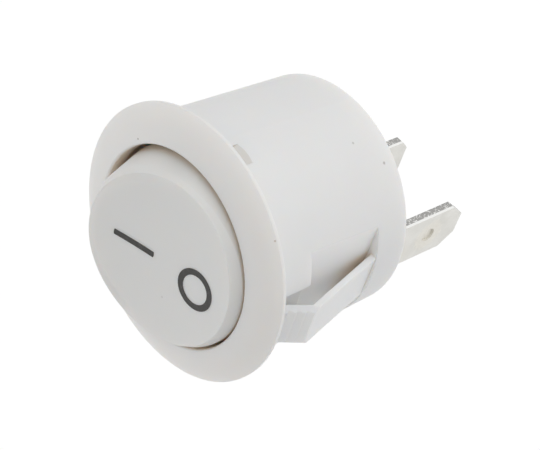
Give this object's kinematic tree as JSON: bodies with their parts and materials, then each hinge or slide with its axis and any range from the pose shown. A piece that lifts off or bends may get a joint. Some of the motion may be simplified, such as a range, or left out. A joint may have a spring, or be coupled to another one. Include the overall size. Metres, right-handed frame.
{
  "type": "panel rocker switch",
  "caption": "Round snap-in panel rocker switch with a domed bezel, spring latches, a two-position rocker and blade terminals.",
  "frame": {"origin": "centre of the bezel's back face, which rests on the panel", "axes": "+Z out of the panel towards the user, +Y towards the rocker's I end, X along the rocker's pivot"},
  "size_m": [0.0226, 0.0232, 0.0291],
  "materials": {
    "housing_white": "satin",
    "rocker_white": "satin",
    "spring_steel": "polished",
    "lever_brass": "satin",
    "contact_silver": "satin",
    "tinned_brass": "satin"
  },
  "bodies": {
    "root": {"housing": "housing_white", "common_terminal": "tinned_brass", "switched_terminal": "tinned_brass", "fixed_contact": "contact_silver"},
    "rocker": {"rocker": "rocker_white", "plunger_spring": "spring_steel"},
    "plunger": {"plunger": "spring_steel"},
    "lever": {"contact_lever": "lever_brass", "moving_contact": "contact_silver"}
  },
  "joints": [
    {"name": "rocker_pivot", "type": "hinge", "parent": "root", "child": "rocker", "pos_m": [0, 0, -0.0016], "axis": [-1, 0, 0], "range_deg": [0, 18]},
    {"name": "plunger_slide", "type": "slide", "parent": "rocker", "child": "plunger", "axis": [0, -0.1573, 0.9876], "range_m": [0, 0.0006], "stiffness_N_per_m": 300, "springref_m": -0.0006, "deforming": ["plunger_spring"]},
    {"name": "lever_rock", "type": "hinge", "parent": "root", "child": "lever", "pos_m": [0, 0, -0.0099], "axis": [1, 0, 0], "range_deg": [0, 10]}
  ],
  "couplings": [
    {"joint": "lever_rock", "follows": "rocker_pivot", "ratio": 0.55}
  ]
}
